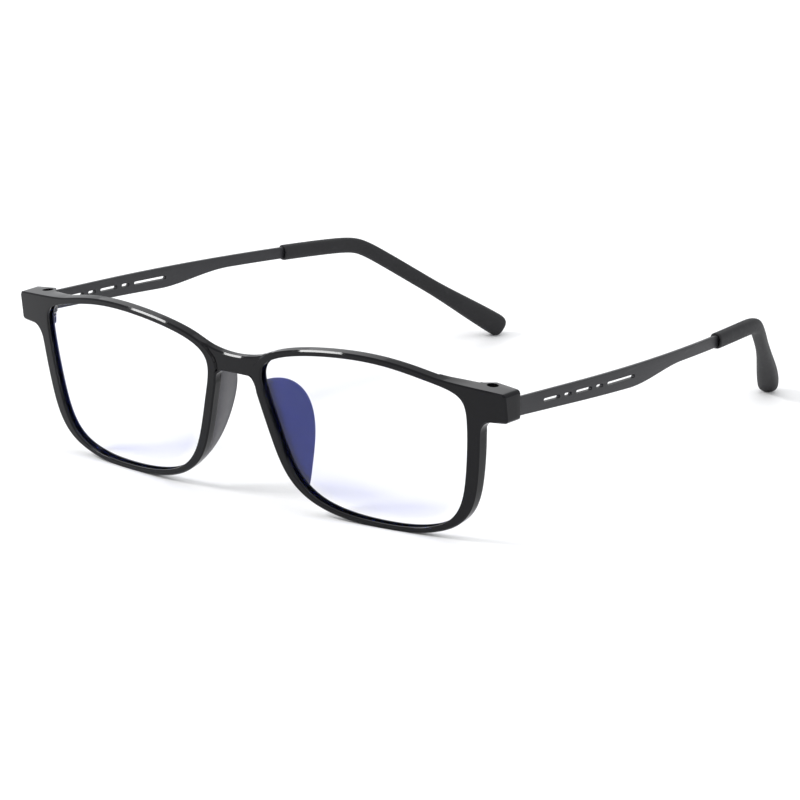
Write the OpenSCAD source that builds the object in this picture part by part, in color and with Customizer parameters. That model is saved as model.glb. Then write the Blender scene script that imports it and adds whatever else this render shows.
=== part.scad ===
// Folding spectacles with clear lenses: a curved front, two nose pads and two
// slotted metal temples, each on a screwed hinge, with a soft tip on its end.
// Millimetres. X runs across the face, Y from front to back, Z up.
// They stand with the temples open, on the two rims and the two tips.

/* [Front] */
// Width over the end pieces
front_w = 140; // [132:1:168]
// Width of one lens opening
lens_w = 52.5; // [46:0.5:56]
// Height of one lens opening
lens_h = 38; // [32:0.5:46]
// Gap between the two lens openings
nose_w = 16; // [14:0.5:20]
// Depth of the rims, front to back
rim_d = 2.4; // [2.2:0.1:4]
// Rim width above the lens
rim_top = 1.4; // [1.2:0.1:3]
// Rim width below the lens
rim_bottom = 1.3; // [1:0.1:2.5]
// Rim width beside the nose
rim_nasal = 2.4; // [1.8:0.1:3.2]
// Rim width on the temple side
rim_temporal = 2.9; // [2.4:0.1:4]
// Depth of the front at the end pieces
shoulder_d = 3.6; // [3:0.1:5]
// Radius that the front wraps around the face
face_r = 300; // [200:10:500]
// Forward lean of the front, degrees
tilt = 7.7; // [0:0.1:12]
// Height of the bridge
bridge_h = 4.4; // [3.5:0.1:6]
// How far the face of the bridge lies behind the face of the rims
bridge_back = 0.5; // [0:0.1:1]

/* [Lenses] */
// Thickness of a lens
lens_t = 1.3; // [1:0.1:1.4]
// Depth of the groove that holds the lens
groove = 0.6; // [0.4:0.1:0.7]
// Distance of the groove behind the front face
groove_back = 0.5; // [0.3:0.1:0.6]
// Play between a lens and its groove
lens_play = 0.03; // [0.02:0.01:0.1]

/* [Nose pads] */
// How far a pad stands out behind the rim
pad_reach = 9.6; // [5:0.1:10]
// Thickness of a pad at its rear edge
pad_t = 1.5; // [1:0.1:2]
// Height of a pad
pad_h = 24; // [18:0.5:26]

/* [End pieces and hinges] */
// Height of an end piece
end_h = 6.8; // [6.4:0.1:8]
// Distance of an end piece's top above the centre of the lens
end_rise = 15; // [14:0.1:18]
// Length of an end piece behind the front's edge
end_l = 5.6; // [5:0.1:8]
// Distance from the outer side to the hinge axis
axis_in = 5.8; // [5.4:0.1:6.5]
// Radius of the hinge screw's shank
screw_r = 0.7; // [0.6:0.05:0.8]
// Radius of the hinge screw's head
head_r = 1; // [0.9:0.05:1.05]
// Height of the hinge screw's head
head_h = 0.7; // [0.5:0.1:0.8]
// Radius of the brass bush and the brass insert
bush_r = 1.3; // [1.2:0.05:1.5]
// Radius of the hinge eye
eye_r = 2.1; // [1.9:0.1:2.3]
// Height of the hinge eye
eye_h = 2; // [1.6:0.1:2.2]
// Thickness of a hinge washer
washer_t = 0.3; // [0.2:0.05:0.4]
// Running play of the hinge, all round
hinge_play = 0.05; // [0.03:0.01:0.08]

/* [Temples] */
// Length of a temple from the hinge axis to the end of its tip
temple_l = 137; // [115:0.5:165]
// Thickness of the temple blade
blade_t = 1; // [0.8:0.1:1.3]
// Height of the blade at the hinge
blade_h = 4.2; // [3.8:0.1:5]
// How much higher the blade has grown at the end of the slots
blade_grow = 0.7; // [0:0.1:1]
// Distance of the blade's centre below the middle of the end piece
blade_low = 0.25; // [0:0.05:0.5]
// Height of the blade at the tip
core_h = 2.7; // [2:0.1:3]
// Fall of the blade per millimetre of length
fall = 0.06; // [0:0.01:0.1]
// Length of the flat part before the temple curves inward
straight_l = 23; // [15:1:30]
// Radius of the inward curve
curve_r = 330; // [200:5:500]
// Turn towards the head at the bend, per millimetre of length
turn_in = 0.3; // [0:0.05:0.5]
// Lengths of the five slots, from the hinge back
slot_l = [5.8, 2.6, 5.8, 2.6, 10.8];
// Height of a slot
slot_h = 0.8; // [0.6:0.1:1.2]
// Metal left between two slots
slot_gap = 1.6; // [1.2:0.1:2]
// Distance from the hinge axis to the first slot
slot_start = 11.2; // [8:0.1:14]

/* [Tips] */
// Length of a tip, measured front to back
tip_l = 54.5; // [48:0.5:64]
// Distance from the bend to the tip's end, front to back
bend_l = 32; // [28:1:42]
// Soft wall above and below the blade at the mouth of a tip
tip_wall_h = 0.45; // [0.35:0.05:0.8]
// Soft wall on each side of the blade
tip_wall_t = 1; // [0.8:0.1:1.3]
// How much higher the tip has grown at its flared end
tip_flare = 1.6; // [1:0.1:3.5]
// How much thicker the tip has grown at its flared end
tip_bulge = 2; // [0:0.1:2.5]
// Play between the blade and the tip's pocket
pocket_play = 0.08; // [0.05:0.01:0.15]

/* [Hidden] */
$fn = 48;
fine = 180;      // smoothness of the wrap-around faces
big = 60;        // longer than any cut needs
sink = 0.25;     // depth of the flat that a rim stands on

// ---- outline of a lens, drawn on the leaning plane of the front ----
// Shape of the lens: points round the outline for a lens 52 wide and 38 high,
// from its centre, starting at the top and going towards the temple.
lens_shape = [[0, 19.2], [9, 18.4], [17, 16.4], [22.5, 15], [26.1, 12.8], [26.2, 7.5], [25.6, 1],
              [24.6, -6], [23.1, -12.5], [19.3, -17.4], [11.3, -19.4], [3, -19.5], [-6.5, -18.9], [-15, -16.6],
              [-20.3, -11.6], [-23, -4], [-25.2, 4], [-27, 10], [-26.2, 14], [-21, 16.8], [-11, 18.6]];
shape_n = len(lens_shape);
shape_w = 52.6;
shape_h = 38.1;
steps = 4;
lens_x = (nose_w + lens_w) / 2;
lens_s = lens_h / 2 + rim_bottom - sink;
// One point of a smooth closed curve near three neighbouring shape points
function soften(a, b, c, d, t) = ((1 - t) * (1 - t) * (1 - t) * a + (3 * t * t * t - 6 * t * t + 4) * b
    + (-3 * t * t * t + 3 * t * t + 3 * t + 1) * c + t * t * t * d) / 6;
function shape_at(i) = let (p = lens_shape[(i + shape_n) % shape_n]) [p[0] * lens_w / shape_w, p[1] * lens_h / shape_h];
eye = [for (i = [0 : shape_n - 1], k = [0 : steps - 1])
    [lens_x, lens_s] + soften(shape_at(i - 1), shape_at(i), shape_at(i + 1), shape_at(i + 2), k / steps)];
eye_n = len(eye);
// Outward direction at point i of a closed outline that runs clockwise
function outward(p, i) = let (n = len(p), d = p[(i + 1) % n] - p[(i + n - 1) % n]) [-d[1], d[0]] / norm(d);
function grown(p, g) = [for (i = [0 : len(p) - 1]) p[i] + g * outward(p, i)];
function rim_w(n) = (n[0] > 0 ? rim_temporal : rim_nasal) * n[0] * n[0] + (n[1] > 0 ? rim_top : rim_bottom) * n[1] * n[1];
rim = [for (i = [0 : eye_n - 1]) let (n = outward(eye, i)) eye[i] + rim_w(n) * n];
rim_hi = max([for (p = rim) p[1]]);

// ---- where the front stands ----
function wrap(x) = face_r - sqrt(face_r * face_r - x * x);
// Height above the floor of a point of the leaning front
function up(x, s) = wrap(x) * sin(tilt) + s * cos(tilt);
function along(x, s) = wrap(x) * cos(tilt) - s * sin(tilt);
rim_low = min([for (p = rim) up(p[0], p[1])]);
drop = rim_low + sink;               // puts the flats of the rims on the floor
front_lead = -min([for (p = rim) along(p[0], p[1])]);
half_w = front_w / 2;
end_top = up(half_w, lens_s + end_rise) - drop;
end_z = end_top - end_h / 2;
corner_y = along(half_w, lens_s + end_rise);
end_y = corner_y + end_l;
axis_x = half_w - axis_in;
axis_y = end_y - eye_r - 0.3;
total_d = front_lead + axis_y + temple_l;
back = -total_d / 2 + front_lead;    // shift that centres the whole on Y

module place() translate([0, back, 0]) children();
module lean() place() translate([0, 0, -drop]) rotate([tilt, 0, 0]) children();
module both_sides() { children(); mirror([1, 0, 0]) children(); }
module side(right) { if (right) mirror([1, 0, 0]) children(); else children(); }
// A prism of an outline that runs front to back, from y0 to y1
module prism(pts, y0, y1) translate([0, y1, 0]) rotate([90, 0, 0]) linear_extrude(y1 - y0) polygon(pts);
// Solid round body whose skin lies d behind the front face
module wrapped(d) translate([0, face_r, -10]) cylinder(r = face_r - d, h = 80, $fn = fine);
module layer(d0, d1) difference() { wrapped(d0); wrapped(d1); }

// ---- front ----
bridge_top = lens_s + 0.385 * lens_h;
bridge_w = nose_w / 2 - rim_nasal;
bridge = let (w = nose_w / 2 + 3.4, low = bridge_top - bridge_h) concat(
    [for (i = [-10 : 10]) [w * i / 10, bridge_top + 2.4 * pow(i / 10, 2)]],
    [[w, low + 1], [bridge_w + 1.2, low - 4]],
    [for (a = [0 : 15 : 90]) [bridge_w - 1.6 + 1.8 * cos(a), low - 2 + 2 * sin(a)]],
    [for (a = [90 : 15 : 180]) [1.6 - bridge_w + 1.8 * cos(a), low - 2 + 2 * sin(a)]],
    [[-bridge_w - 1.2, low - 4], [-w, low + 1]]);
// The shoulder runs from the rim out to the end piece
shoulder_x = lens_x + lens_w / 2 - 14;
shoulder = let (s = lens_s + end_rise, r = lens_x + lens_w / 2 + rim_temporal) [
    [shoulder_x, s + 3.1], [half_w, s], [half_w, s - end_h],
    for (a = [0 : 15 : 90]) [r + 2.6 - 2.9 * sin(a), s - end_h - 3.6 + 3.6 * cos(a)],
    [r - 2.2, s - end_h - 4], [r - 2.2, s - 3], [shoulder_x, s + 0.4]];
slot_z0 = end_z - eye_h / 2 - washer_t - hinge_play;
slot_z1 = end_z + eye_h / 2 + washer_t + hinge_play;

module front_frame() color("#151517") {
    difference() {
        union() {
            lean() intersection() {
                both_sides() prism(rim, -2, 30);
                layer(0, rim_d);
            }
            lean() intersection() {
                prism(bridge, -2, 30);
                layer(bridge_back, rim_d);
            }
            lean() intersection() {
                both_sides() prism(shoulder, -2, 30);
                layer(0, shoulder_d);
            }
            both_sides() end_block();
        }
        both_sides() {
            lean() prism(eye, -5, 30);
            lean() intersection() {
                prism(grown(eye, groove), -5, 30);
                layer(groove_back, groove_back + lens_t + 2 * lens_play);
            }
            hinge_cuts();
        }
        translate([-big * 2, -big * 2, -10]) cube([big * 4, big * 4, 10]);
    }
}

// The block behind the corner of the front that carries the hinge
module end_block() intersection() {
    place() translate([axis_x, axis_y, end_z - end_h / 2]) linear_extrude(end_h) polygon([
        [axis_in, -big], [axis_in, end_y - axis_y], [-0.4, end_y - axis_y],
        [-bush_r - 1.2, -0.2], [-bush_r - 1.2, -big]]);
    lean() wrapped(0.4);
}

module hinge_cuts() place() translate([axis_x, axis_y, 0]) {
    // slot for the eye, open behind and towards the nose
    translate([0, 0, slot_z0]) {
        cylinder(r = eye_r + 0.2, h = slot_z1 - slot_z0);
        translate([-big / 2, 0, 0]) cube([big / 2 + eye_r + 0.2, big, slot_z1 - slot_z0]);
        translate([-big / 2, -eye_r - 0.2, 0]) cube([big / 2, big, slot_z1 - slot_z0]);
    }
    // bore for the bush from the top, and for the insert from below
    translate([0, 0, end_z - big]) cylinder(r = bush_r, h = 2 * big);
}

module lens(right) color("#9fb7ff", 0.35) side(right) lean() intersection() {
    prism(grown(eye, groove - lens_play), -5, 30);
    layer(groove_back + lens_play, groove_back + lens_play + lens_t);
}

// ---- nose pads ----
// Seat of the pad on the back of the rim beside the nose, at height s
pad_mid = lens_s - 0.085 * lens_h;
function rim_inner(s) = min([for (p = eye) if (abs(p[1] - s) < 2.2) p[0]]);
function seat_x(s) = rim_inner(s) - rim_nasal + 0.25;
pad_rings = 12;
pad_arc = 6;
module nose_pad(right) color("#3f3d42") side(right) lean() {
    rings = [for (k = [0 : pad_rings]) let (
        u = 2 * k / pad_rings - 1,
        s = pad_mid + u * pad_h / 2,
        x0 = seat_x(s), x1 = x0 + rim_nasal - 0.4,
        n0 = wrap(x0) + rim_d + 0.02, n1 = wrap(x1) + rim_d + 0.02,
        bulge = max(0.05, pow(max(0, 1 - u), 0.4) * pow(max(0, 1 + u), 0.8) / 1.05),
        r = pad_t / 2 * max(0.3, pow(1 - u * u, 0.25)),
        c = [x0 + r + 0.25 * pad_reach * bulge, n0 + pad_reach * bulge - r])
        concat([[x0, n0, s], [x0 + 0.1 * (c[0] - r - x0), (2 * n0 + c[1]) / 3, s]],
            [for (j = [0 : pad_arc]) let (a = 180 - 180 * j / pad_arc) [c[0] + r * cos(a), max(n0 + 0.1, c[1] + r * sin(a)), s]],
            [[x1, n1, s]])];
    skin(rings);
}

// Closed skin over rings that all have the same number of points
module skin(rings) {
    m = len(rings[0]);
    n = len(rings);
    polyhedron(points = [for (r = rings, p = r) p], faces = concat(
        [[for (j = [0 : m - 1]) j]],
        [for (i = [0 : n - 2], j = [0 : m - 1], h = [0, 1]) let (a = i * m + j, b = i * m + (j + 1) % m)
            h == 0 ? [a, a + m, b + m] : [a, b + m, b]],
        [[for (j = [m - 1 : -1 : 0]) (n - 1) * m + j]]), convexity = 6);
}

// ---- hinge pieces, drawn about the hinge axis ----
module at_axis(right) side(right) place() translate([axis_x, axis_y, 0]) children();
bush_top = end_top - 0.4;
head_z = bush_top - head_h - 0.1;

module hinge_bush(right) color("#b08d57") at_axis(right) difference() {
    translate([0, 0, slot_z1]) cylinder(r = bush_r, h = bush_top - slot_z1);
    cylinder(r = screw_r + hinge_play, h = big);
    translate([0, 0, head_z]) cylinder(r = head_r + hinge_play, h = big);
}

module hinge_insert(right) color("#b08d57") at_axis(right) difference() {
    translate([0, 0, end_z - end_h / 2 + 0.2]) cylinder(r = bush_r, h = slot_z0 - (end_z - end_h / 2 + 0.2));
    cylinder(r = screw_r, h = big);
}

module hinge_screw(right) color("#c8c8cc") at_axis(right) difference() {
    union() {
        translate([0, 0, end_z - end_h / 2 + 0.4]) cylinder(r = screw_r, h = head_z - end_z + end_h / 2 - 0.4);
        translate([0, 0, head_z]) cylinder(r = head_r, h = head_h);
    }
    translate([-head_r - 1, -0.15, head_z + head_h - 0.35]) cube([2 * head_r + 2, 0.3, 1]);
}

module hinge_washer(right, z) color("#e8e8e4") at_axis(right) translate([0, 0, z]) difference() {
    cylinder(r = eye_r - 0.3, h = washer_t);
    translate([0, 0, -1]) cylinder(r = screw_r + hinge_play, h = washer_t + 2);
}

// The eye turns on the screw and carries the blade on a short arm
arm_y = end_y - axis_y + 0.3;
blade_x = axis_in - 0.5 - blade_t;
module hinge_eye(right) color("#4a4a4e") at_axis(right) translate([0, 0, end_z - eye_h / 2]) difference() {
    union() {
        cylinder(r = eye_r, h = eye_h);
        translate([-0.4, 0, 0]) cube([eye_r + 0.4, arm_y + 1, eye_h]);
        translate([-0.4, arm_y, 0]) cube([blade_x + 0.4, 1, eye_h]);
    }
    translate([0, 0, -1]) cylinder(r = screw_r + hinge_play, h = eye_h + 2);
}

// ---- temples, in side view and in plan from the hinge axis ----
blade_top = end_z - blade_low + blade_h / 2;
tip_y = temple_l - tip_l;
tip_h = core_h + 2 * tip_wall_h;
tip_t = blade_t + 2 * tip_wall_t;
bend_y = temple_l - bend_l;
bend_soft = 3;
// How far the temple has curved inward at y
function inward(y) = turn_in * (ramp(y) - ramp(0)) + (y < straight_l ? 0 : (y - straight_l) * (y - straight_l) / (2 * curve_r));
// Smooth ramp that starts at the bend
function ramp(y) = (sqrt(pow(y - bend_y, 2) + bend_soft * bend_soft) + y - bend_y) / 2;
function ease(t) = let (c = min(1, max(0, t))) c * c * (3 - 2 * c);
function straight_z(y) = blade_top - fall * y - core_h / 2;
function tip_half(y) = let (u = (y - tip_y) / tip_l) (tip_h + tip_flare * ease((u - 0.7) / 0.28)) / 2;
tip_end_part = 0.035;    // share of the tip's length that rounds off
function tip_scale(y) = let (c = max(0, (y - temple_l) / tip_l + tip_end_part) / tip_end_part) pow(max(0.00001, 1 - c * c * c), 0.35);
// Lowest point of the tip when the bend has slope k, less the fullness of its corners
function tip_low(k) = min([for (i = [0 : 12]) let (y = temple_l - i * tip_l / 60)
    straight_z(y) - k * ramp(y) - tip_half(y) * tip_scale(y) / sqrt(1 + k * k)]);
// Halves the interval until the tip just touches the floor
function solve(a, b, n) = let (m = (a + b) / 2) n == 0 ? m : tip_low(m) > 0.12 ? solve(m, b, n - 1) : solve(a, m, n - 1);
bend_slope = solve(0.2, 2.5, 24);
function mid_z(y) = straight_z(y) - bend_slope * ramp(y);
function slope(y) = (mid_z(y + 0.05) - mid_z(y - 0.05)) / 0.1;
taper_y = slot_start + slot_l[0] + slot_l[1] + slot_l[2] + slot_l[3] + slot_l[4] + 4 * slot_gap - 1.5;
function full_h(y) = blade_h + blade_grow * min(1, y / taper_y);
function height_at(y) = full_h(y) + (core_h - full_h(y)) * ease((y - taper_y) / 22);
core_end = temple_l - 14;
// Stations along the open blade, and along the part that the tip covers
blade_ys = [for (i = [0 : 29]) arm_y + (tip_y - arm_y) * i / 30];
core_ys = [for (i = [0 : 30]) tip_y + (core_end - tip_y) * i / 30];
function square_off(y, h) = let (q = sqrt(1 + slope(y) * slope(y))) [-slope(y) * h / q, h / q];

// Side outline of the blade between two stations, grown by g
function side_pts(ys, g) = concat(
    [for (y = ys) [y, mid_z(y)] + square_off(y, core_h / 2 + g)],
    [for (i = [len(ys) - 1 : -1 : 0]) let (y = ys[i]) [y, mid_z(y)] - square_off(y, height_at(y) - core_h / 2 + g)]);
// Plan outline of the blade's thickness, grown by g
function plan_pts(ys, g) = concat(
    [for (y = ys) [axis_in - 0.5 - inward(y) + g, y]],
    [for (i = [len(ys) - 1 : -1 : 0]) [axis_in - 0.5 - blade_t - inward(ys[i]) - g, ys[i]]]);
module strip(ys, plan_ys, g) intersection() {
    translate([-big * 2, 0, 0]) rotate([90, 0, 90]) linear_extrude(big * 4) polygon(side_pts(ys, g));
    translate([0, 0, -big]) linear_extrude(big * 3) polygon(plan_pts(plan_ys, g));
}

module temple_blade(right) color("#3d3d40") at_axis(right) difference() {
    strip(concat(blade_ys, core_ys), concat([arm_y - 4], blade_ys, core_ys, [core_end + 6]), 0);
    for (i = [0 : len(slot_l) - 1]) slot_cut(slot_start + slots_before(i) + i * slot_gap, slot_l[i]);
}
function slots_before(i) = i == 0 ? 0 : slot_l[i - 1] + slots_before(i - 1);
module slot_cut(y, l) translate([0, y, blade_top - fall * y - full_h(y + l / 2) / 2]) rotate([-atan(fall), 0, 0]) {
    translate([-big, slot_h / 2, -slot_h / 2]) cube([2 * big, l - slot_h, slot_h]);
    for (e = [slot_h / 2, l - slot_h / 2]) translate([-big, e, 0]) rotate([0, 90, 0]) cylinder(r = slot_h / 2, h = 2 * big, $fn = 24);
}

// Soft tip: rounded sections swept along the same line, with a rounded end
tip_rings = 46;
ring_n = 20;
function tip_station(i) = tip_y + tip_l * (i < 36 ? (1 - tip_end_part) * i / 36 : 1 - tip_end_part + tip_end_part * sin(9 * (i - 36)));
function spine(y) = [axis_in - 0.5 - blade_t / 2 - inward(y), y, mid_z(y)];
function unit(v) = v / norm(v);
function tip_ring(y) = let (
    t = unit(spine(y + 0.05) - spine(y - 0.05)),
    n = unit(cross(t, [0, 0, 1])),
    b = cross(n, t),
    k = tip_scale(y),
    w = k * (tip_t + tip_bulge * ease(((y - tip_y) / tip_l - 0.6) / 0.35)) / 2,
    h = k * tip_half(y))
    [for (j = [0 : ring_n - 1]) let (a = 360 * j / ring_n, c = cos(a), s = sin(a))
        spine(y) + w * sign(c) * pow(abs(c), 0.7) * n + h * sign(s) * pow(abs(s), 0.7) * b];

module temple_tip(right) color("#2c2c2e") at_axis(right) difference() {
    skin([for (i = [0 : tip_rings]) tip_ring(tip_station(i))]);
    strip(concat([tip_y - 2], core_ys, [core_end + 0.3]),
        concat([tip_y - 4], core_ys, [core_end + 6]), pocket_play);
}

front_frame();
lens(false);  // lens_left
lens(true);  // lens_right
nose_pad(false);  // nose_pad_left
nose_pad(true);  // nose_pad_right
hinge_bush(false);  // hinge_bush_left
hinge_bush(true);  // hinge_bush_right
hinge_insert(false);  // hinge_insert_left
hinge_insert(true);  // hinge_insert_right
hinge_screw(false);  // hinge_screw_left
hinge_screw(true);  // hinge_screw_right
hinge_washer(false, end_z + eye_h / 2 + hinge_play);  // hinge_washer_upper_left
hinge_washer(true, end_z + eye_h / 2 + hinge_play);  // hinge_washer_upper_right
hinge_washer(false, end_z - eye_h / 2 - hinge_play - washer_t);  // hinge_washer_lower_left
hinge_washer(true, end_z - eye_h / 2 - hinge_play - washer_t);  // hinge_washer_lower_right
hinge_eye(false);  // hinge_eye_left
hinge_eye(true);  // hinge_eye_right
temple_blade(false);  // temple_blade_left
temple_blade(true);  // temple_blade_right
temple_tip(false);  // temple_tip_left
temple_tip(true);  // temple_tip_right
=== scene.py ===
"""Clear glasses: a slim gloss-black front, slotted metal temples and soft tips.

Every shape is a surface worked out on a grid in millimetres, in the same frame
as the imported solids, and put into its mesh in metres.
"""

import logging
import math
from dataclasses import dataclass, field
from enum import Enum

import bpy
import numpy as np
from mathutils import Matrix, Vector


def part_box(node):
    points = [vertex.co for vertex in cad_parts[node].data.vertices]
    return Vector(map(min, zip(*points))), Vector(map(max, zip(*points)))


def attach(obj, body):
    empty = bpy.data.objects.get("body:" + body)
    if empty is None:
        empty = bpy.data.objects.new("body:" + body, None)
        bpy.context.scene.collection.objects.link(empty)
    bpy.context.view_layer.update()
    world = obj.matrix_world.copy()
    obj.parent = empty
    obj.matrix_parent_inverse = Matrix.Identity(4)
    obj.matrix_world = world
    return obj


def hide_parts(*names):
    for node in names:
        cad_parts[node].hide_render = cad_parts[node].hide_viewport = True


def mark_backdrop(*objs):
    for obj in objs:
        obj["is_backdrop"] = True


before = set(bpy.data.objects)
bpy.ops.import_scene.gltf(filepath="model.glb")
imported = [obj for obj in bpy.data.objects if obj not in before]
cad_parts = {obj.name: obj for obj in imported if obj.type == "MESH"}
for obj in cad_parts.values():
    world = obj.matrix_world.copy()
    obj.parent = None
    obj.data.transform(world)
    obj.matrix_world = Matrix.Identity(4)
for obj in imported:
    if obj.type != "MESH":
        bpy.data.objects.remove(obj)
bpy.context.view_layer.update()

MM = 0.001
TINY = 1e-6
LOG = logging.getLogger("glasses")


class Body(Enum):
    """The three bodies that move against each other."""

    FRONT = "front"
    LEFT = "left_temple"
    RIGHT = "right_temple"


class Side(Enum):
    """The wearer's side that a piece belongs to."""

    LEFT = 1
    RIGHT = -1

    @property
    def word(self) -> str:
        """The side as it stands in the names of pieces."""
        return self.name.lower()

    @property
    def temple(self) -> Body:
        """The temple body on this side."""
        return Body.LEFT if self is Side.LEFT else Body.RIGHT


# ---------------------------------------------------------------- small maths


def ease(t: np.ndarray | float) -> np.ndarray:
    """Smooth step from 0 to 1: t squared times (3 - 2t), held outside 0..1."""
    c = np.clip(t, 0.0, 1.0)
    return c * c * (3 - 2 * c)


def unit(v: np.ndarray) -> np.ndarray:
    """Each vector of an array divided by its own length."""
    return v / np.maximum(np.linalg.norm(v, axis=-1, keepdims=True), 1e-12)


def bezier(a: np.ndarray, b: np.ndarray, c: np.ndarray, d: np.ndarray, n: int) -> np.ndarray:
    """Cubic curve with end points a and d and handles b and c.

    Args:
        a, b, c, d: Points of the plane.
        n: Number of samples, both ends included.

    Returns:
        n points: the weights (1-t)^3, 3t(1-t)^2, 3t^2(1-t), t^3 on a, b, c, d.
    """
    t = np.linspace(0, 1, n)[:, None]
    return (1 - t) ** 3 * a + 3 * t * (1 - t) ** 2 * b + 3 * t * t * (1 - t) * c + t**3 * d


# ---------------------------------------------------------------- mesh making


def grid_faces(rows: int, cols: int, close_rows: bool, close_cols: bool) -> np.ndarray:
    """Quads between neighbouring points of a grid stored row by row.

    Args:
        rows: Number of rows.
        cols: Number of points in a row.
        close_rows: Joins the last row to the first.
        close_cols: Joins the last point of a row to its first.

    Returns:
        Array of faces, four point numbers each.
    """
    r = np.arange(rows if close_rows else rows - 1)[:, None]
    c = np.arange(cols if close_cols else cols - 1)[None, :]
    r1, c1 = (r + 1) % rows, (c + 1) % cols
    quads = [r * cols + c, r1 * cols + c, r1 * cols + c1, r * cols + c1]
    return np.stack([q.ravel() for q in quads], axis=1)


def weld(points: np.ndarray, faces: np.ndarray) -> tuple[np.ndarray, list[tuple[int, ...]]]:
    """Merges equal points and drops what the merging flattens.

    Args:
        points: Points in millimetres.
        faces: Quads over them.

    Returns:
        The points that are left, and faces of three or four corners.
    """
    _, first, back = np.unique(np.round(points, 4), axis=0, return_index=True, return_inverse=True)
    f = back.reshape(-1)[faces]
    same = f == np.roll(f, -1, axis=1)
    twice = same.sum(axis=1)
    crossed = (f[:, 0] == f[:, 2]) | (f[:, 1] == f[:, 3])
    quads = f[(twice == 0) & ~crossed]
    bent = f[(twice == 1)]
    where = np.argmax(same[twice == 1], axis=1)
    keep = (where[:, None] + np.array([1, 2, 3])) % 4
    tris = np.take_along_axis(bent, keep, axis=1)
    tris = tris[(tris[:, 0] != tris[:, 2]) & (tris[:, 0] != tris[:, 1]) & (tris[:, 1] != tris[:, 2])]
    return points[first], [tuple(q) for q in quads.tolist()] + [tuple(t) for t in tris.tolist()]


def make_mesh(name: str, points: np.ndarray, faces: np.ndarray, crease: float = 38.0) -> bpy.types.Object:
    """Puts a closed surface into a new object at the origin, facing outwards.

    Args:
        name: Name of the object.
        points: Points in millimetres.
        faces: Quads over them.
        crease: Edges that turn by more than this many degrees stay sharp.

    Returns:
        The object, linked into the scene.
    """
    pts, loops = weld(points.reshape(-1, 3), faces)
    tri = np.array([t for q in loops for t in ((q[0], q[1], q[2]), (q[0], q[2], q[-1]))[: len(q) - 2]])
    a, b, c = pts[tri[:, 0]], pts[tri[:, 1]], pts[tri[:, 2]]
    if np.einsum("ij,ij->i", a, np.cross(b, c)).sum() < 0:
        loops = [q[::-1] for q in loops]
    data = bpy.data.meshes.new(name)
    data.from_pydata((pts * MM).tolist(), [], loops)
    data.update()
    smooth(data, crease)
    obj = bpy.data.objects.new(name, data)
    bpy.context.scene.collection.objects.link(obj)
    return obj


def smooth(data: bpy.types.Mesh, crease: float) -> None:
    """Shades a mesh smooth and keeps edges sharper than crease degrees."""
    data.shade_smooth()
    data.set_sharp_from_angle(angle=math.radians(crease))


def cut(obj: bpy.types.Object, tools: list[bpy.types.Object], crease: float) -> None:
    """Takes closed tool shapes away from an object and removes the tools.

    Args:
        obj: The object that is cut.
        tools: Closed shapes whose space is taken away.
        crease: Edges that turn by more than this many degrees stay sharp.
    """
    for tool in tools:
        mod = obj.modifiers.new(tool.name, "BOOLEAN")
        mod.operation, mod.solver, mod.object = "DIFFERENCE", "EXACT", tool
    shape = bpy.data.meshes.new_from_object(obj.evaluated_get(bpy.context.evaluated_depsgraph_get()))
    obj.modifiers.clear()
    old, obj.data = obj.data, shape
    shape.name = obj.name
    bpy.data.meshes.remove(old)
    for tool in tools:
        data = tool.data
        bpy.data.objects.remove(tool)
        bpy.data.meshes.remove(data)
    smooth(shape, crease)


def tube(name: str, rings: np.ndarray) -> bpy.types.Object:
    """Closed tube over rings of points, both ends drawn together to a pole.

    Args:
        name: Name of the object.
        rings: Array (rings, points, 3); the skin runs straight between them.

    Returns:
        The object.
    """
    ends = [np.repeat(rings[[i]].mean(axis=1, keepdims=True), rings.shape[1], axis=1) for i in (0, -1)]
    full = np.concatenate([ends[0], rings, ends[1]])
    return make_mesh(name, full, grid_faces(len(full), rings.shape[1], False, True))


# ---------------------------------------------------------------- shader tools


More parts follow.
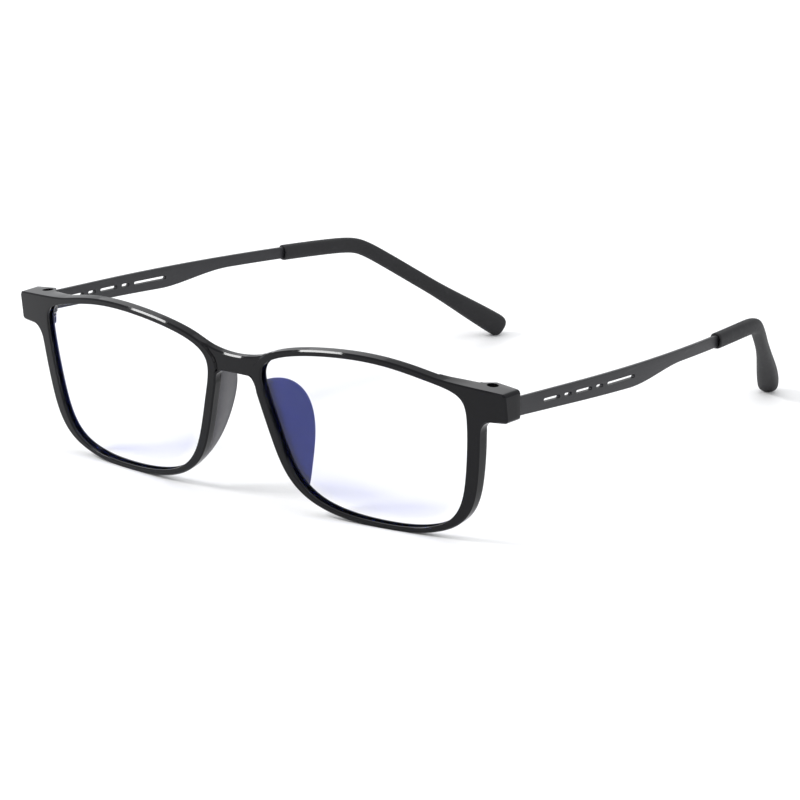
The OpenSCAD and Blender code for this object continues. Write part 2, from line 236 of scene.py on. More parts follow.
class Graph:
    """The node tree of one material, with one method that adds any node."""

    def __init__(self, name: str) -> None:
        """Starts an empty material of that name."""
        self.material = bpy.data.materials.new(name)
        self.material.use_nodes = True
        self.tree = self.material.node_tree
        self.tree.nodes.clear()

    def node(self, kind: str, settings: dict | None = None, **values: object) -> bpy.types.Node:
        """Adds a node.

        Args:
            kind: Type of the node.
            settings: Its own settings, set first; "stops" fills a colour ramp.
            values: Socket values or links, by socket name with _ for a space;
                a name such as i0 means the input of that number.

        Returns:
            The node.
        """
        made = self.tree.nodes.new(kind)
        for key, value in (settings or {}).items():
            if key == "stops":
                ramp = made.color_ramp
                while len(ramp.elements) < len(value):
                    ramp.elements.new(0.5)
                for stop, (place, colour) in zip(ramp.elements, value):
                    stop.position, stop.color = place, (*colour, 1.0)
            else:
                setattr(made, key, value)
        for key, value in values.items():
            numbered = key[0] == "i" and key[1:].isdigit()
            self.feed(made.inputs[int(key[1:]) if numbered else key.replace("_", " ")], value)
        return made

    def feed(self, socket: bpy.types.NodeSocket, value: object) -> None:
        """Links a socket to a wrapped or plain output, or sets its value."""
        if isinstance(value, Value):
            value = value.socket
        if isinstance(value, bpy.types.NodeSocket):
            self.tree.links.new(value, socket)
        elif isinstance(value, tuple) and socket.type == "RGBA" and len(value) == 3:
            socket.default_value = (*value, 1.0)
        else:
            socket.default_value = value

    def position(self, scale: tuple[float, float, float] = (1.0, 1.0, 1.0)) -> bpy.types.NodeSocket:
        """Object coordinates, stretched by scale."""
        place = self.node("ShaderNodeTexCoord").outputs["Object"]
        return self.node("ShaderNodeMapping", None, Vector=place, Scale=scale).outputs["Vector"]

    def noise(self, scale: float, detail: float = 3.0, rough: float = 0.5,
              stretch: tuple[float, float, float] = (1.0, 1.0, 1.0)) -> "Value":
        """Cloud pattern of about 1/scale metres, from 0 to 1."""
        made = self.node("ShaderNodeTexNoise", None, Vector=self.position(stretch),
                         Scale=scale, Detail=detail, Roughness=rough)
        return Value(self, made.outputs[0])

    def mix(self, factor: object, a: object, b: object) -> bpy.types.NodeSocket:
        """Colour that goes from a to b as factor goes from 0 to 1."""
        made = self.node("ShaderNodeMix", {"data_type": "RGBA"})
        self.feed(made.inputs[0], factor)
        self.feed(made.inputs[6], a)
        self.feed(made.inputs[7], b)
        return made.outputs[2]

    def bump(self, height: object, strength: float, distance: float) -> bpy.types.NodeSocket:
        """Normal of a surface raised by height; distance is in metres."""
        made = self.node("ShaderNodeBump", None, Height=height, Strength=strength, Distance=distance)
        return made.outputs["Normal"]

    def finish(self, shader: bpy.types.Node) -> bpy.types.Material:
        """Connects the shader to the output and gives the material."""
        self.node("ShaderNodeOutputMaterial", None, Surface=shader.outputs[0])
        return self.material


@dataclass(frozen=True)
class Value:
    """A number that varies over a surface; sums and products add Math nodes."""

    graph: Graph
    socket: bpy.types.NodeSocket

    def _math(self, operation: str, a: object, b: object) -> "Value":
        """Adds one Math node on a and b."""
        made = self.graph.node("ShaderNodeMath", {"operation": operation}, i0=a, i1=b)
        return Value(self.graph, made.outputs[0])

    def __add__(self, other: object) -> "Value":
        """This value plus the other."""
        return self._math("ADD", self, other)

    __radd__ = __add__

    def __sub__(self, other: object) -> "Value":
        """This value less the other."""
        return self._math("SUBTRACT", self, other)

    def __rsub__(self, other: object) -> "Value":
        """The other less this value."""
        return self._math("SUBTRACT", other, self)

    def __mul__(self, other: object) -> "Value":
        """This value times the other."""
        return self._math("MULTIPLY", self, other)

    __rmul__ = __mul__

    def span(self, low: float, high: float) -> "Value":
        """Smooth ramp: 0 below low, 1 above high."""
        made = self.graph.node("ShaderNodeMapRange", {"interpolation_type": "SMOOTHSTEP"},
                               Value=self, From_Min=low, From_Max=high)
        return Value(self.graph, made.outputs[0])


# ---------------------------------------------------------------- finishes

Colour = tuple[float, float, float]


@dataclass(frozen=True)
class GlossPlastic:
    """Polished moulded plastic: a faint swell of the skin and soft rub marks."""

    name: str = "gloss_black"
    colour: Colour = (0.0035, 0.0035, 0.0045)
    rough: float = 0.05

    def build(self) -> bpy.types.Material:
        """Makes the material."""
        g = Graph(self.name)
        swell = g.noise(160.0, 2.0)
        rubs = g.noise(900.0, 4.0, 0.65, (1.0, 1.0, 0.35)).span(0.52, 0.8)
        dust = g.noise(5200.0, 2.0).span(0.66, 0.8)
        worn = rubs * 0.06 + dust * 0.1 + self.rough
        colour = g.mix(dust * 0.35, self.colour, (0.02, 0.02, 0.023))
        skin = g.node("ShaderNodeBsdfPrincipled", None, Base_Color=colour, Roughness=worn, IOR=1.28,
                      Normal=g.bump(swell + rubs * 0.02, 0.3, 0.00005))
        return g.finish(skin)


@dataclass(frozen=True)
class SatinPlastic:
    """Matt moulded or rubbed skin with a fine grain."""

    name: str
    colour: Colour
    light: Colour
    rough: float
    grain: float
    depth: float = 0.00002

    def build(self) -> bpy.types.Material:
        """Makes the material."""
        g = Graph(self.name)
        grain = g.noise(self.grain, 3.0, 0.6)
        clouds = g.noise(220.0, 3.0)
        rubs = g.noise(700.0, 4.0, 0.7).span(0.5, 0.85)
        colour = g.mix(clouds * 0.55 + rubs * 0.35, self.colour, self.light)
        rough = clouds * 0.12 + grain * 0.1 - rubs * 0.1 + (self.rough - 0.08)
        skin = g.node("ShaderNodeBsdfPrincipled", None, Base_Color=colour, Roughness=rough, IOR=1.38,
                      Normal=g.bump(grain, 0.5, self.depth))
        return g.finish(skin)


@dataclass(frozen=True)
class CoatedMetal:
    """Thin black coat on sprung steel: fine spray grain and faint long marks."""

    name: str = "temple_coat"
    colour: Colour = (0.019, 0.019, 0.0215)
    light: Colour = (0.045, 0.045, 0.048)
    rough: float = 0.42

    def build(self) -> bpy.types.Material:
        """Makes the material."""
        g = Graph(self.name)
        grain = g.noise(3600.0, 2.0)
        long = g.noise(1500.0, 3.0, 0.6, (1.0, 0.05, 1.0))
        clouds = g.noise(120.0, 2.0)
        marks = long.span(0.55, 0.8)
        colour = g.mix(clouds * 0.4 + marks * 0.35, self.colour, self.light)
        rough = grain * 0.16 + clouds * 0.1 - marks * 0.08 + (self.rough - 0.12)
        skin = g.node("ShaderNodeBsdfPrincipled", None, Base_Color=colour, Roughness=rough, IOR=1.4,
                      Metallic=0.3, Normal=g.bump(grain * 0.7 + long * 0.3, 0.4, 0.00002))
        return g.finish(skin)


@dataclass(frozen=True)
class BareMetal:
    """Turned metal of the hinge, with rings of the tool and dull patches."""

    name: str
    colour: Colour
    dull: Colour
    rough: float

    def build(self) -> bpy.types.Material:
        """Makes the material."""
        g = Graph(self.name)
        lines = g.noise(4000.0, 3.0, 0.6, (1.0, 1.0, 0.2))
        patches = g.noise(1300.0, 3.0).span(0.4, 0.75)
        colour = g.mix(patches, self.colour, self.dull)
        skin = g.node("ShaderNodeBsdfPrincipled", None, Base_Color=colour, Metallic=1.0,
                      Roughness=lines * 0.15 + patches * 0.15 + self.rough,
                      Normal=g.bump(lines, 0.4, 0.00001))
        return g.finish(skin)


@dataclass(frozen=True)
class CoatedLens:
    """Clear lens whose coat sends back a little blue light."""

    name: str = "lens_clear"
    glow: Colour = (0.05, 0.12, 1.0)
    share: float = 0.055

    def build(self) -> bpy.types.Material:
        """Makes the material."""
        g = Graph(self.name)
        smear = g.noise(140.0, 3.0).span(0.45, 0.85)
        edge = Value(g, g.node("ShaderNodeLayerWeight", None, Blend=0.35).outputs["Facing"])
        coat = g.node("ShaderNodeBsdfPrincipled", None,
                      Base_Color=g.mix(smear * 0.4, self.glow, (0.16, 0.16, 0.95)),
                      Metallic=1.0, Roughness=0.03)
        clear = g.node("ShaderNodeBsdfTransparent", None, Color=(1.0, 1.0, 1.0))
        inset = g.node("ShaderNodeAttribute", {"attribute_name": "inset"})
        inside = Value(g, inset.outputs["Fac"]).span(0.3, 1.0)
        share = (edge * 0.05 + smear * 0.015 + self.share) * (inside * 0.9 + 0.1)
        both = g.node("ShaderNodeMixShader", None, i0=share,
                      i1=clear.outputs[0], i2=coat.outputs[0])
        return g.finish(both)


@dataclass(frozen=True)
class PaleFloor:
    """Plain pale sweep with a barely seen tooth."""

    name: str = "floor_pale"

    def build(self) -> bpy.types.Material:
        """Makes the material."""
        g = Graph(self.name)
        tooth = g.noise(900.0, 2.0)
        skin = g.node("ShaderNodeBsdfPrincipled", None, Base_Color=(0.93, 0.93, 0.93),
                      Roughness=tooth * 0.1 + 0.7)
        return g.finish(skin)


class Finishes:
    """All the materials, made once."""

    def __init__(self) -> None:
        """Builds every material that the pieces share."""
        self.gloss = GlossPlastic().build()
        self.pad = SatinPlastic(
            "pad_satin", (0.03, 0.029, 0.036), (0.055, 0.052, 0.062), 0.42, 2600.0).build()
        self.rubber = SatinPlastic(
            "tip_rubber", (0.006, 0.006, 0.007), (0.02, 0.02, 0.022), 0.62, 3800.0, 0.00004).build()
        self.coat = CoatedMetal().build()
        self.eye = CoatedMetal("hinge_coat", (0.03, 0.03, 0.033), (0.09, 0.09, 0.095), 0.4).build()
        self.brass = BareMetal("hinge_brass", (0.62, 0.45, 0.22), (0.4, 0.27, 0.12), 0.22).build()
        self.steel = BareMetal("hinge_steel", (0.6, 0.6, 0.62), (0.42, 0.42, 0.44), 0.2).build()
        self.nylon = SatinPlastic("washer_nylon", (0.5, 0.5, 0.48), (0.62, 0.62, 0.6), 0.5, 3000.0).build()
        self.lens = CoatedLens().build()
        self.floor = PaleFloor().build()


def dress(obj: bpy.types.Object, material: bpy.types.Material, slot: str, body: Body,
          *stands_for: str) -> bpy.types.Object:
    """Gives a new piece its finish and its body, and hides the CAD nodes that it stands for.

    Args:
        obj: The piece.
        material: Its material.
        slot: The slot that the finish belongs to; not used.
        body: The body that it moves with.
        stands_for: CAD nodes that it is shown instead of.

    Returns:
        The piece.
    """
    obj.data.materials.clear()
    obj.data.materials.append(material)
    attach(obj, body.value)
    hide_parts(*stands_for)
    LOG.info("%s: %d faces, %s, on %s", obj.name, len(obj.data.polygons), material.name, body.value)
    return obj


# ---------------------------------------------------------------- the front


@dataclass
class LensOutline:
    """Edge of a lens on the leaning plane of the front, and the rim round it."""

    width: float = 52.5
    height: float = 38.0
    nose: float = 16.0
    rim_top: float = 1.4
    rim_bottom: float = 1.3
    rim_nasal: float = 2.4
    rim_temporal: float = 2.9
    sink: float = 0.25
    drawn: tuple[float, float] = (52.6, 38.1)
    shape: tuple[tuple[float, float], ...] = (
        (0, 19.2), (9, 18.4), (17, 16.4), (22.5, 15), (26.1, 12.8), (26.2, 7.5), (25.6, 1),
        (24.6, -6), (23.1, -12.5), (19.3, -17.4), (11.3, -19.4), (3, -19.5), (-6.5, -18.9),
        (-15, -16.6), (-20.3, -11.6), (-23, -4), (-25.2, 4), (-27, 10), (-26.2, 14),
        (-21, 16.8), (-11, 18.6))

    @property
    def middle(self) -> np.ndarray:
        """Centre of the lens, across and up the leaning plane."""
        return np.array([(self.nose + self.width) / 2, self.height / 2 + self.rim_bottom - self.sink])

    def _weights(self, t: np.ndarray, w: np.ndarray) -> np.ndarray:
        """Sum of four neighbouring shape points with the weights w."""
        pts = np.array(self.shape) * (np.array([self.width, self.height]) / np.array(self.drawn))
        i = np.floor(t).astype(int)
        return sum(w[k][:, None] * pts[(i + k - 1) % len(pts)] for k in range(4))

    def edge(self, t: np.ndarray) -> np.ndarray:
        """Points of the smooth closed outline.

        Args:
            t: Place along the outline, one unit for each shape point.

        Returns:
            Points: the uniform cubic spline through the shape points.
        """
        f = t - np.floor(t)
        w = np.stack([(1 - f) ** 3, 3 * f**3 - 6 * f**2 + 4, -3 * f**3 + 3 * f**2 + 3 * f + 1, f**3]) / 6
        return self.middle + self._weights(t, w)

    def normal(self, t: np.ndarray) -> np.ndarray:
        """Outward direction of the outline: its slope turned a quarter round."""
        f = t - np.floor(t)
        w = np.stack([-((1 - f) ** 2), 3 * f**2 - 4 * f, -3 * f**2 + 2 * f + 1, f**2]) / 2
        d = self._weights(t, w)
        return unit(np.stack([-d[:, 1], d[:, 0]], axis=1))

    def rim(self, t: np.ndarray) -> np.ndarray:
        """Outer edge of the rim: the outline moved out by the rim's width there."""
        n = self.normal(t)
        side = np.where(n[:, 0] > 0, self.rim_temporal, self.rim_nasal)
        level = np.where(n[:, 1] > 0, self.rim_top, self.rim_bottom)
        return self.edge(t) + (side * n[:, 0] ** 2 + level * n[:, 1] ** 2)[:, None] * n


@dataclass
class Stance:
    """How the flat plan of the front is wrapped, leant back and set down."""

    outline: LensOutline
    face_r: float = 300.0
    tilt: float = 7.7
    drop: float = field(init=False)
    back: float = field(init=False)

    def __post_init__(self) -> None:
        """Works out how far the front is lowered and moved, from its rims."""
        rim = self.outline.rim(np.linspace(0, len(self.outline.shape), 841))
        self.drop = self.back = 0.0
        low = self.place(rim[:, 0], rim[:, 1], 0.0)
        self.drop = low[:, 2].min() + self.outline.sink
        self.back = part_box("front_frame")[0].y / MM - low[:, 1].min()

    def place(self, x: np.ndarray, s: np.ndarray, d: np.ndarray | float) -> np.ndarray:
        """Place of a point that lies d behind the face, x across and s up.

        The face is a cylinder of radius face_r about an upright line, so that
        y is face_r less the root of (face_r - d) squared less x squared; the
        whole is then turned by tilt about the X axis.
        """
        y = self.face_r - np.sqrt((self.face_r - d) ** 2 - x**2)
        c, w = math.cos(math.radians(self.tilt)), math.sin(math.radians(self.tilt))
        return np.stack([x + 0 * y, y * c - s * w + self.back, y * w + s * c - self.drop], axis=-1)


@dataclass
class FrontFrame:
    """Rims, bridge and end pieces as one skin, mirrored about the middle.

    The skin is a grid: stations run round the lens, and at each station a
    profile runs from the inner wall over the face, round the outer wall, over
    the back and through the lens groove.
    """

    stance: Stance
    half_w: float = 70.0
    depth: float = 2.4
    shoulder: float = 3.6
    groove: float = 0.6
    groove_front: float = 0.5
    groove_back: float = 1.86
    bridge_h: float = 4.4
    bridge_rise: float = 14.63
    end_rise: float = 15.0
    end_h: float = 6.8
    end_l: float = 5.6
    block_x: float = 61.7
    bridge_back: float = 0.5
    swell: float = 1.2
    edge_r: float = 0.34
    back_r: float = 0.25
    inner_r: float = 0.25
    crease: float = 32.0

    def _contour(self) -> tuple[np.ndarray, np.ndarray, np.ndarray]:
        """Outer contour of one half with the place on the lens it belongs to.

        Returns:
            Places t on the lens outline, points of the contour, and a number
            for each: 0 rim, 1 end piece, 2 middle plane.
        """
        o = self.stance.outline
        mid = o.middle[1]
        top, low = mid + self.end_rise, mid + self.end_rise - self.end_h
        r = o.middle[0] + o.width / 2 + o.rim_temporal
        pieces: list[tuple[np.ndarray, np.ndarray, int]] = []

        def run(points: np.ndarray, t0: float, t1: float, kind: int) -> None:
            """Adds a stretch whose places on the lens go from t0 to t1 by length."""
            s = np.concatenate([[0], np.cumsum(np.linalg.norm(np.diff(points, axis=0), axis=1))])
            pieces.append((t0 + (t1 - t0) * s / s[-1], points, kind))

        def rim(t0: float, t1: float, n: int) -> None:
            """Adds a stretch of plain rim."""
            t = np.linspace(t0, t1, n)
            pieces.append((t, o.rim(t), 0))

        def corner(a: list, b: list, c: list, t0: float, t1: float) -> None:
            """Adds a rounded corner from a to c with its point at b."""
            a, b, c = map(np.array, (a, b, c))
            run(bezier(a, a + (b - a) * 0.6, c + (b - c) * 0.6, c, 9), t0, t1, 1)

        def line(a: list, b: list, t0: float, t1: float, n: int, kind: int) -> None:
            """Adds a straight stretch of n points."""
            run(np.linspace(np.array(a, float), np.array(b, float), n), t0, t1, kind)

        n_shape = len(o.shape)
        rim(18.75 - n_shape, 2.3, 150)
        start, way = o.rim(np.array([2.3]))[0], unit(np.diff(o.rim(np.array([2.29, 2.3])), axis=0))[0]
        x0, w = self.half_w, 0.9
        slope = (start[1] - top) / (x0 - start[0])
        a = np.array([x0 - w, top + slope * w])
        run(bezier(start, start + way * 3, a - 6 * np.array([1, -slope]), a, 36), 2.3, 3.72, 1)
        corner(list(a), [x0, top], [x0, top - w], 3.72, 3.9)
        line([x0, top - w], [x0, low + w], 3.9, 4.62, 12, 1)
        corner([x0, low + w], [x0, low], [x0 - w, low], 4.62, 4.7)
        line([x0 - w, low], [r + 2.6, low], 4.7, 4.815, 8, 1)
        q = np.radians(np.linspace(1.5, 90, 24))
        arc = np.stack([r + 2.6 - 2.9 * np.sin(q), low - 3.6 + 3.6 * np.cos(q)], axis=1)
        arc[-1] = o.rim(np.array([5.5]))[0]
        run(arc, 4.822, 5.5, 3)
        rim(5.5, 16.6, 420)
        crest, foot = mid + self.bridge_rise, mid + self.bridge_rise - self.bridge_h
        p = o.rim(np.array([16.6]))[0]
        run(bezier(p, p + [-0.05, 1.6], np.array([5.3, foot]), np.array([3.2, foot]), 18), 16.6, 17.0, 0)
        line([3.2, foot], [0, foot], 17.0, 17.2, 14, 0)
        line([0, foot], [0, crest], 17.2, 17.7, 10, 2)
        x = np.linspace(0, 6.4, 26)
        run(np.stack([x, crest + 2.4 * (x / 11.4) ** 2], axis=1), 17.7, 18.08, 0)
        a = np.array([6.4, crest + 2.4 * (6.4 / 11.4) ** 2])
        b, back_way = o.rim(np.array([18.75]))[0], unit(np.diff(o.rim(np.array([18.75, 18.76])), axis=0))[0]
        run(bezier(a, a + [1.5, 0.36], b - back_way * 1.5, b, 20), 18.08, 18.75, 0)
        t = np.concatenate([q[0][1:] for q in pieces])
        pts = np.concatenate([q[1][1:] for q in pieces])
        kind = np.concatenate([np.full(len(q[0]) - 1, q[2]) for q in pieces])
        return t, pts, kind

    def _half(self) -> np.ndarray:
        """Skin of one half, by its profile columns in order.

        From the lens: the inner lip rounded by (1 - sin q, 1 - cos q), the face,
        a flat chamfer, the outer wall, the back lip, the back, then the groove.

        Returns:
            Array (stations, profile points, 3) in millimetres.
        """
        o, st = self.stance.outline, self.stance
        t, outer, kind = self._contour()
        inner, n = o.edge(t), o.normal(t)
        step = np.roll(outer, -1, axis=0) - np.roll(outer, 1, axis=0)
        m = unit(np.stack([-step[:, 1], step[:, 0]], axis=1))
        middle = outer[:, 0] < TINY
        crest, foot = outer[middle][-1, 1], outer[middle][0, 1]
        inside = middle & (outer[:, 1] > foot + TINY) & (outer[:, 1] < crest - TINY)
        m[middle & (np.abs(outer[:, 1] - foot) < TINY)] = [0, -1]
        m[middle & (np.abs(outer[:, 1] - crest) < TINY)] = [0, 1]
        outer[inside, 1] = np.clip(outer[inside, 1], foot + self.edge_r, crest - self.edge_r)

        upright = np.where(kind == 1, ease((outer[:, 0] - 52) / 9), 0.0)
        upright = np.where(kind == 3, ease((5.5 - t) / 0.5), upright)
        temporal = 0.5 * ease((9.5 - t) / 4) + 0.5 * ease((5.5 - t) / 0.6)
        temporal = np.where((t > 4.8) & (t < 9.5), temporal, 0.0)
        wall = self.depth + (self.shoulder - self.depth) * np.where(
            kind == 1, ease((outer[:, 0] - 50) / 9), temporal)
        upper = (kind == 1) & (outer[:, 1] > o.middle[1] + 10)
        wall = wall + self.swell * np.where(upper, ease((outer[:, 0] - 55) / 6.7), 0.0)
        block = (kind == 1) & (outer[:, 0] > self.block_x)
        y_end = st.place(np.array(self.half_w), np.array(o.middle[1] + self.end_rise), 0.0)[1] + self.end_l

        def front_y(p: np.ndarray) -> np.ndarray:
            """Y of the face in front of plan points p."""
            return st.place(p[:, 0], p[:, 1], 0.0)[:, 1]

        columns: list[np.ndarray] = []

        def column(p: np.ndarray, d: np.ndarray | float, w: np.ndarray | float) -> None:
            """Adds one profile point: plan place p, depth d, share w kept upright."""
            lean = st.place(p[:, 0], p[:, 1], d)
            face = st.place(p[:, 0], p[:, 1], 0.0)
            straight = face + np.stack([0 * p[:, 0], d + 0 * p[:, 0], 0 * p[:, 0]], axis=1)
            w = np.broadcast_to(w, p[:, 0].shape)[:, None]
            columns.append(lean * (1 - w) + straight * w)

        rim_w = np.linalg.norm(o.rim(t) - inner, axis=1)
        bridged = ease((t - 16.75) / 0.25) * ease((18.5 - t) / 0.3)

        def sunk(p: np.ndarray) -> np.ndarray:
            """How far the face lies back at p: the bridge's face is set behind the rims'."""
            away = np.linalg.norm(p - inner, axis=1)
            return self.bridge_back * bridged * ease((away - rim_w + 0.12) / 0.3)

        arc = np.radians(np.linspace(0, 90, 7))
        for q in arc[::-1]:
            column(inner + self.inner_r * (1 - math.sin(q)) * n, self.inner_r * (1 - math.cos(q)), 0.0)
        a = inner + self.inner_r * n
        e = np.where(inside, 0.0, self.edge_r)[:, None]
        b = outer - e * m
        span = np.linalg.norm(b - a, axis=1)
        span = np.maximum(span, TINY)
        crease = np.clip((rim_w - self.inner_r) / span, 0.2, 0.9) * bridged + 0.5 * (1 - bridged)
        band = 0.2 / span * bridged + 0.2 * (1 - bridged)
        for k in np.linspace(0, 1, 16)[1:-1]:
            spread = np.where(k < 0.3, (crease - band) * k / 0.3,
                              np.where(k > 0.7, crease + band + (1 - crease - band) * (k - 0.7) / 0.3,
                                       crease + band * (k - 0.5) / 0.2))
            p = a + (b - a) * spread[:, None]
            column(p, sunk(p), 0.0)
        for k in np.linspace(0, 1, 4):
            p = outer - e * (1 - k) * m
            column(p, sunk(p) + e[:, 0] * k, upright)
        depth_o = np.where(block, y_end - front_y(outer), wall)
        for k in (0.33, 0.66):
            start = e[:, 0] + sunk(outer)
            column(outer, start + (depth_o - self.back_r - start) * k, upright)
        g = np.where(inside, 0.0, self.back_r)[:, None]
        for q in arc[::-1]:
            p = outer - g * (1 - math.sin(q)) * m
            full = np.where(block, y_end - front_y(p), wall)
            column(p, full - g[:, 0] * (1 - math.cos(q)), upright)
        b = outer - g * m
        inward = (b[:, 0] - self.block_x) / np.maximum(b[:, 0] - inner[:, 0], TINY)
        share = np.where(block, np.clip(inward, 0, 1), 0.0)
        corner = b + (inner + self.inner_r * n - b) * share[:, None]
        for k in np.linspace(0, 1, 5)[1:]:
            p = b + (corner - b) * k
            column(p, np.where(block, y_end - front_y(p), wall), upright)
        for k in (0.5, 1.0):
            column(corner, np.where(block, (y_end - front_y(corner)) * (1 - k) + wall * k, wall), upright)
        a = inner + self.inner_r * n
        for k in np.linspace(0, 1, 12)[1:-1]:
            column(corner + (a - corner) * k, wall + (self.depth - wall) * k, upright * (1 - k))
        for q in arc:
            depth_i = self.depth - self.inner_r * (1 - math.cos(q))
            column(inner + self.inner_r * (1 - math.sin(q)) * n, depth_i, 0.0)
        for offset, d in ((0, self.groove_back), (self.groove, self.groove_back),
                          (self.groove, self.groove_front), (0, self.groove_front)):
            column(inner + offset * n, d, 0.0)
        skin = np.stack(columns, axis=1)
        skin[..., 2] = np.maximum(skin[..., 2], 0.0)
        skin[middle, :, 0] = np.where(np.abs(skin[middle, :, 0]) < TINY, 0.0, skin[middle, :, 0])
        return skin

    def build(self, finishes: Finishes, hinge: "HingePlace") -> bpy.types.Object:
        """Makes the front, cuts the hinge slots and bores, and dresses it.

        Args:
            finishes: The shared materials.
            hinge: Where the hinge axis stands.

        Returns:
            The front.
        """
        half = self._half()
        rows, cols = half.shape[:2]
        faces = grid_faces(rows, cols, True, True)
        points = half.reshape(-1, 3)
        flat = (np.abs(points[faces][:, :, 0]) < TINY).all(axis=1)
        faces = faces[~flat]
        both = np.concatenate([points, points * [-1, 1, 1]])
        faces = np.concatenate([faces, faces[:, ::-1] + len(points)])
        obj = make_mesh("front_gloss_frame", both, faces, self.crease)
        tools = [tool for side in Side for tool in hinge.tools(side)]
        cut(obj, tools, self.crease)
        return dress(obj, finishes.gloss, "front_gloss", Body.FRONT, "front_frame")


@dataclass
class HingePlace:
    """Place of the hinge axis and the sizes of the space it needs."""

    bush_r: float = 1.3
    eye_r: float = 2.1
    gap: float = 0.2
    reach: float = 12.0
    span_z: tuple[float, float] = (20.0, 45.0)
    trimmed: tuple[tuple[float, float], ...] = (
        (-0.4, 6.0), (-0.4, 2.4), (-2.5, -0.2), (-2.9, -0.2), (-2.9, 6.0))
    x: float = field(init=False)
    y: float = field(init=False)
    slot_low: float = field(init=False)
    slot_high: float = field(init=False)

    def __post_init__(self) -> None:
        """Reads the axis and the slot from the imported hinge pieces."""
        lo, hi = (np.array(v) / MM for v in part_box("hinge_bush_left"))
        self.x, self.y = (lo[0] + hi[0]) / 2, (lo[1] + hi[1]) / 2
        self.slot_high = lo[2]
        self.slot_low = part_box("hinge_insert_left")[1].z / MM

    def tools(self, side: Side) -> list[bpy.types.Object]:
        """Closed shapes that cut the eye's slot, the bush's bore and the block's rear corner.

        Args:
            side: Side of the head.

        Returns:
            Upright prisms, each a plan outline at two heights.
        """
        q = np.linspace(0, 2 * math.pi, 64, endpoint=False)
        r = self.eye_r + self.gap
        turn = np.linspace(0, -math.pi / 2, 20)
        plan = np.concatenate([
            np.stack([r * np.cos(turn), r * np.sin(turn)], axis=1),
            [[-self.reach, -r], [-self.reach, self.reach], [r, self.reach]]])
        circle = self.bush_r * np.stack([np.cos(q), np.sin(q)], axis=1)
        shapes = (("slot", plan, (self.slot_low, self.slot_high)),
                  ("bore", circle, self.span_z), ("corner", np.array(self.trimmed), self.span_z))
        made = []
        for name, outline, levels in shapes:
            rings = np.stack([np.column_stack([outline, np.full(len(outline), z)]) for z in levels])
            rings = (rings + [self.x, self.y, 0.0]) * [side.value, 1, 1]
            made.append(tube(f"cut_{name}_{side.word}", rings))
        return made


@dataclass
class Lens:
    """Thin clear lens whose edge sits in the groove of the rim.

    The skin is a grid: stations run round the outline, and at each station a
    line runs from the middle of the front to the edge, round it and back to
    the middle of the back.
    """

    stance: Stance
    groove: float = 0.57
    front: float = 0.53
    thick: float = 1.3
    bevel: float = 0.18

    def _store_inset(self, obj: bpy.types.Object, side: Side) -> None:
        """Stores at each point its distance from the lens edge over 3 mm, held at 1."""
        o = self.stance.outline
        edge = o.edge(np.linspace(0, len(o.shape), 252, endpoint=False))
        rim = self.stance.place(edge[:, 0], edge[:, 1], self.front) * [side.value, 1, 1]
        co = np.empty(len(obj.data.vertices) * 3)
        obj.data.vertices.foreach_get("co", co)
        away = np.linalg.norm((co.reshape(-1, 1, 3) / MM - rim[None])[..., [0, 2]], axis=2).min(axis=1)
        held = obj.data.attributes.new("inset", "FLOAT", "POINT")
        held.data.foreach_set("value", np.clip(away / 3.0, 0, 1))

    def build(self, side: Side, finishes: Finishes) -> bpy.types.Object:
        """Makes the lens of one side."""
        o = self.stance.outline
        t = np.linspace(0, len(o.shape), 252, endpoint=False)
        edge, n = o.edge(t) + self.groove * o.normal(t), o.normal(t)
        share = np.linspace(0, 1, 22)
        rim = edge - self.bevel * n
        columns = [self.stance.place(*(o.middle + (rim - o.middle) * k).T, self.front) for k in share]
        columns += [self.stance.place(*edge.T, self.front + self.bevel),
                    self.stance.place(*edge.T, self.front + self.thick - self.bevel)]
        columns += [self.stance.place(*(o.middle + (rim - o.middle) * k).T, self.front + self.thick)
                    for k in share[::-1]]
        skin = np.stack(columns, axis=1) * [side.value, 1, 1]
        name = f"lens_clear_{side.word}"
        obj = make_mesh(name, skin, grid_faces(len(t), len(columns), True, False), 30)
        self._store_inset(obj, side)
        return dress(obj, finishes.lens, "lens_glass", Body.FRONT, f"lens_{side.word}")


